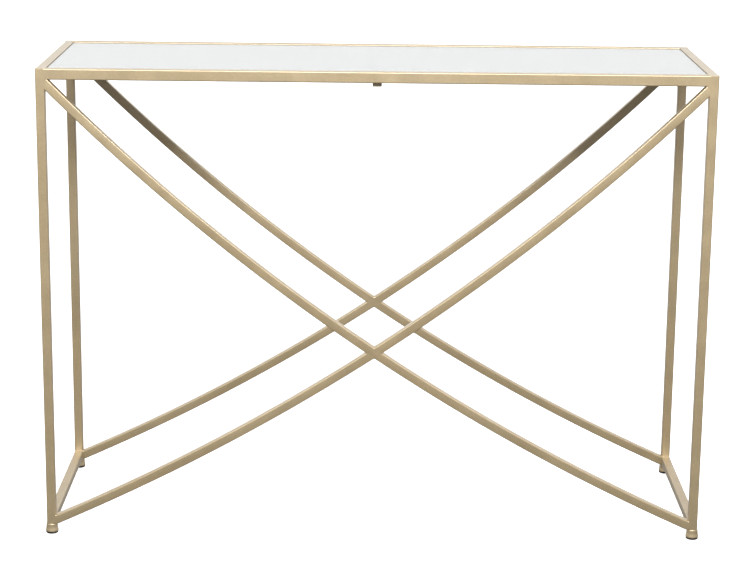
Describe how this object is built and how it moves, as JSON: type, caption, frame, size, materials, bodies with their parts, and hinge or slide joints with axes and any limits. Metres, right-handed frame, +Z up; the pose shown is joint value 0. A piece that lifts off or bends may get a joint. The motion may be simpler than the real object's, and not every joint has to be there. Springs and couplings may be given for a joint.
{
  "type": "console table",
  "caption": "Slim console table: square tube frame, crossed curved braces front and rear, inset mirror pane, small bell-shaped levelling feet.",
  "frame": {"origin": "centre of the footprint, on the floor", "axes": "+X along the length of the table, to the right seen from the front; -Y towards the front; +Z up"},
  "size_m": [1.1066, 0.3664, 0.79],
  "materials": {
    "gold_frame": "satin champagne-gold lacquer with a fine metallic grain",
    "gold_feet": "semi-gloss champagne-gold lacquer",
    "zinc": "bright zinc plate",
    "glass": "clear polished float glass with ground edges",
    "silvering": "mirror silvering",
    "board": "brown hardboard",
    "felt": "dark grey felt",
    "rubber": "matt black rubber"
  },
  "bodies": {
    "root": {"front_top_rail": "gold_frame", "rear_top_rail": "gold_frame", "left_top_rail": "gold_frame", "right_top_rail": "gold_frame", "front_left_leg": "gold_frame", "front_right_leg": "gold_frame", "rear_left_leg": "gold_frame", "rear_right_leg": "gold_frame", "front_long_brace": "gold_frame", "front_upper_brace": "gold_frame", "front_lower_brace": "gold_frame", "rear_long_brace": "gold_frame", "rear_upper_brace": "gold_frame", "rear_lower_brace": "gold_frame", "left_bottom_stretcher": "gold_frame", "right_bottom_stretcher": "gold_frame", "centre_support_bar": "gold_frame", "front_bar_end_plate": "gold_frame", "rear_bar_end_plate": "gold_frame", "front_pane_ledge": "gold_frame", "rear_pane_ledge": "gold_frame", "left_pane_ledge": "gold_frame", "right_pane_ledge": "gold_frame", "pane_felt_dots": "felt", "backing_board": "board", "mirror_silvering": "silvering", "mirror_glass": "glass", "front_left_leg_nut": "zinc", "front_right_leg_nut": "zinc", "rear_left_leg_nut": "zinc", "rear_right_leg_nut": "zinc"},
    "front_left_glide": {"front_left_foot_pad": "rubber"},
    "front_left_foot": {"front_left_foot_cup": "gold_feet", "front_left_foot_stud": "zinc"},
    "front_right_glide": {"front_right_foot_pad": "rubber"},
    "front_right_foot": {"front_right_foot_cup": "gold_feet", "front_right_foot_stud": "zinc"},
    "rear_left_glide": {"rear_left_foot_pad": "rubber"},
    "rear_left_foot": {"rear_left_foot_cup": "gold_feet", "rear_left_foot_stud": "zinc"},
    "rear_right_glide": {"rear_right_foot_pad": "rubber"},
    "rear_right_foot": {"rear_right_foot_cup": "gold_feet", "rear_right_foot_stud": "zinc"}
  },
  "joints": [
    {"name": "front_left_foot_travel", "type": "slide", "parent": "root", "child": "front_left_glide", "axis": [0, 0, -1], "range_m": [0, 0.005]},
    {"name": "front_left_foot_turn", "type": "hinge", "parent": "front_left_glide", "child": "front_left_foot", "pos_m": [-0.5425, -0.1725, 0.0175], "axis": [0, 0, -1], "range_deg": [0, 1440]},
    {"name": "front_right_foot_travel", "type": "slide", "parent": "root", "child": "front_right_glide", "axis": [0, 0, -1], "range_m": [0, 0.005]},
    {"name": "front_right_foot_turn", "type": "hinge", "parent": "front_right_glide", "child": "front_right_foot", "pos_m": [0.5425, -0.1725, 0.0175], "axis": [0, 0, -1], "range_deg": [0, 1440]},
    {"name": "rear_left_foot_travel", "type": "slide", "parent": "root", "child": "rear_left_glide", "axis": [0, 0, -1], "range_m": [0, 0.005]},
    {"name": "rear_left_foot_turn", "type": "hinge", "parent": "rear_left_glide", "child": "rear_left_foot", "pos_m": [-0.5425, 0.1725, 0.0175], "axis": [0, 0, -1], "range_deg": [0, 1440]},
    {"name": "rear_right_foot_travel", "type": "slide", "parent": "root", "child": "rear_right_glide", "axis": [0, 0, -1], "range_m": [0, 0.005]},
    {"name": "rear_right_foot_turn", "type": "hinge", "parent": "rear_right_glide", "child": "rear_right_foot", "pos_m": [0.5425, 0.1725, 0.0175], "axis": [0, 0, -1], "range_deg": [0, 1440]}
  ],
  "couplings": [
    {"joint": "front_left_foot_turn", "follows": "front_left_foot_travel", "rad_per_m": 5026.5},
    {"joint": "front_right_foot_turn", "follows": "front_right_foot_travel", "rad_per_m": 5026.5},
    {"joint": "rear_left_foot_turn", "follows": "rear_left_foot_travel", "rad_per_m": 5026.5},
    {"joint": "rear_right_foot_turn", "follows": "rear_right_foot_travel", "rad_per_m": 5026.5}
  ]
}
